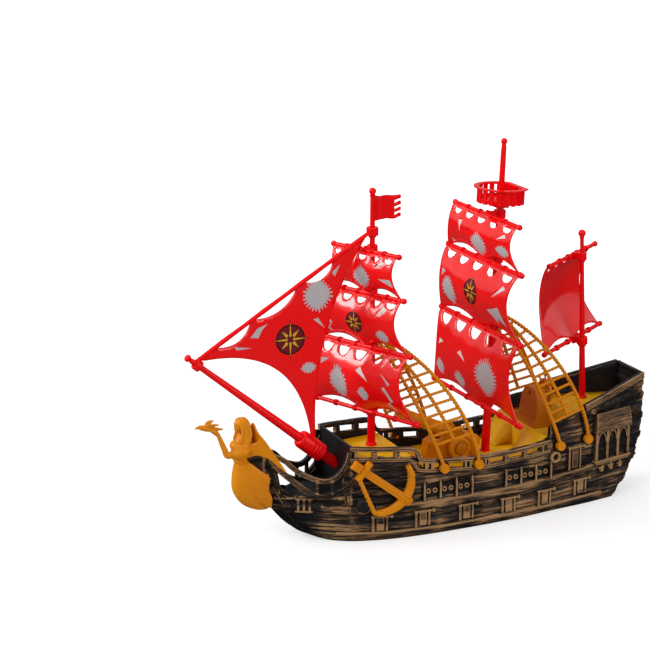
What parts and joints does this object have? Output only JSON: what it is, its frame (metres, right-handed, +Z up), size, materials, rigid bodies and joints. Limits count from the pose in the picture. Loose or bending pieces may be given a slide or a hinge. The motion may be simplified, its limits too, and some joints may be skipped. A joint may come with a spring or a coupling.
{
  "type": "model sailing ship",
  "caption": "Toy sailing ship with swinging moulded sails, rope nets, a deck cannon that tilts, a turning helm and a press button in the bow.",
  "frame": {"origin": "middle of the battery door on the flat bottom of the hull", "axes": "+X towards the stern, -X towards the bow, -Y to port, +Y to starboard, +Z up"},
  "size_m": [0.2991, 0.1113, 0.2298],
  "materials": {
    "hull_plastic": "black, dry-brushed bronze",
    "deck_plastic": "yellow, satin",
    "red_plastic": "red, glossy",
    "sail_plastic": "translucent red sheet, printed",
    "tan_plastic": "orange tan, satin",
    "button_rubber": "black",
    "board_green": "circuit board",
    "speaker_black": "paper cone and steel pot",
    "dark_plastic": "black",
    "steel": "zinc plated"
  },
  "bodies": {
    "hull": {"hull_port": "hull_plastic", "hull_starboard": "hull_plastic", "fore_deck": "deck_plastic", "waist_deck": "deck_plastic", "quarter_deck": "deck_plastic", "foremast": "red_plastic", "mainmast": "red_plastic", "mizzenmast": "red_plastic", "crows_nest": "red_plastic", "bowsprit": "red_plastic", "jib": "sail_plastic", "fore_net_port": "tan_plastic", "fore_net_starboard": "tan_plastic", "main_net_port": "tan_plastic", "main_net_starboard": "tan_plastic", "anchor_port": "tan_plastic", "anchor_starboard": "tan_plastic", "figurehead": "tan_plastic", "cannon_carriage": "tan_plastic", "helm_pedestal": "tan_plastic", "sound_board": "board_green", "speaker": "speaker_black", "battery_box": "dark_plastic", "button_cells": "steel", "battery_door": "hull_plastic", "battery_door_screw": "steel", "hull_screws": "steel"},
    "fore_sails": {"fore_yard_1": "red_plastic", "fore_yard_2": "red_plastic", "fore_yard_3": "red_plastic", "fore_yard_4": "red_plastic", "fore_sail_1": "sail_plastic", "fore_sail_2": "sail_plastic", "fore_sail_3": "sail_plastic"},
    "main_sails": {"main_yard_1": "red_plastic", "main_yard_2": "red_plastic", "main_yard_3": "red_plastic", "main_yard_4": "red_plastic", "main_sail_1": "sail_plastic", "main_sail_2": "sail_plastic", "main_sail_3": "sail_plastic"},
    "mizzen_sails": {"mizzen_yard_1": "red_plastic", "mizzen_yard_2": "red_plastic", "mizzen_sail": "sail_plastic"},
    "barrel": {"cannon_barrel": "tan_plastic"},
    "gun_wheel_port": {"cannon_wheel_port": "tan_plastic"},
    "gun_wheel_starboard": {"cannon_wheel_starboard": "tan_plastic"},
    "helm": {"helm_wheel": "tan_plastic"},
    "button": {"sound_button": "button_rubber"}
  },
  "joints": [
    {"name": "fore_swing", "type": "hinge", "parent": "hull", "child": "fore_sails", "pos_m": [-0.056, 0, 0.12], "axis": [0, 0, 1], "range_deg": [-45, 5]},
    {"name": "main_swing", "type": "hinge", "parent": "hull", "child": "main_sails", "pos_m": [0.0217, 0, 0.034], "axis": [0.0436, 0, 0.999], "range_deg": [-22, 22]},
    {"name": "mizzen_swing", "type": "hinge", "parent": "hull", "child": "mizzen_sails", "pos_m": [0.0898, 0, 0.0606], "axis": [-0.0384, 0, 0.9993], "range_deg": [-45, 4]},
    {"name": "barrel_tilt", "type": "hinge", "parent": "hull", "child": "barrel", "pos_m": [-0.004, 0, 0.051], "axis": [0, 1, 0], "range_deg": [-10, 5]},
    {"name": "wheel_spin_port", "type": "hinge", "parent": "hull", "child": "gun_wheel_port", "pos_m": [-0.0013, -0.0095, 0.0431], "axis": [0, 1, 0], "continuous": true},
    {"name": "wheel_spin_starboard", "type": "hinge", "parent": "hull", "child": "gun_wheel_starboard", "pos_m": [-0.0013, 0.0095, 0.0431], "axis": [0, 1, 0], "continuous": true},
    {"name": "helm_spin", "type": "hinge", "parent": "hull", "child": "helm", "pos_m": [0.0614, 0, 0.0685], "axis": [1, 0, 0], "continuous": true},
    {"name": "button_press", "type": "slide", "parent": "hull", "child": "button", "axis": [0.2797, 0.9601, 0], "range_m": [0, 0.0014], "stiffness_N_per_m": 400, "springref_m": -0.0006}
  ]
}
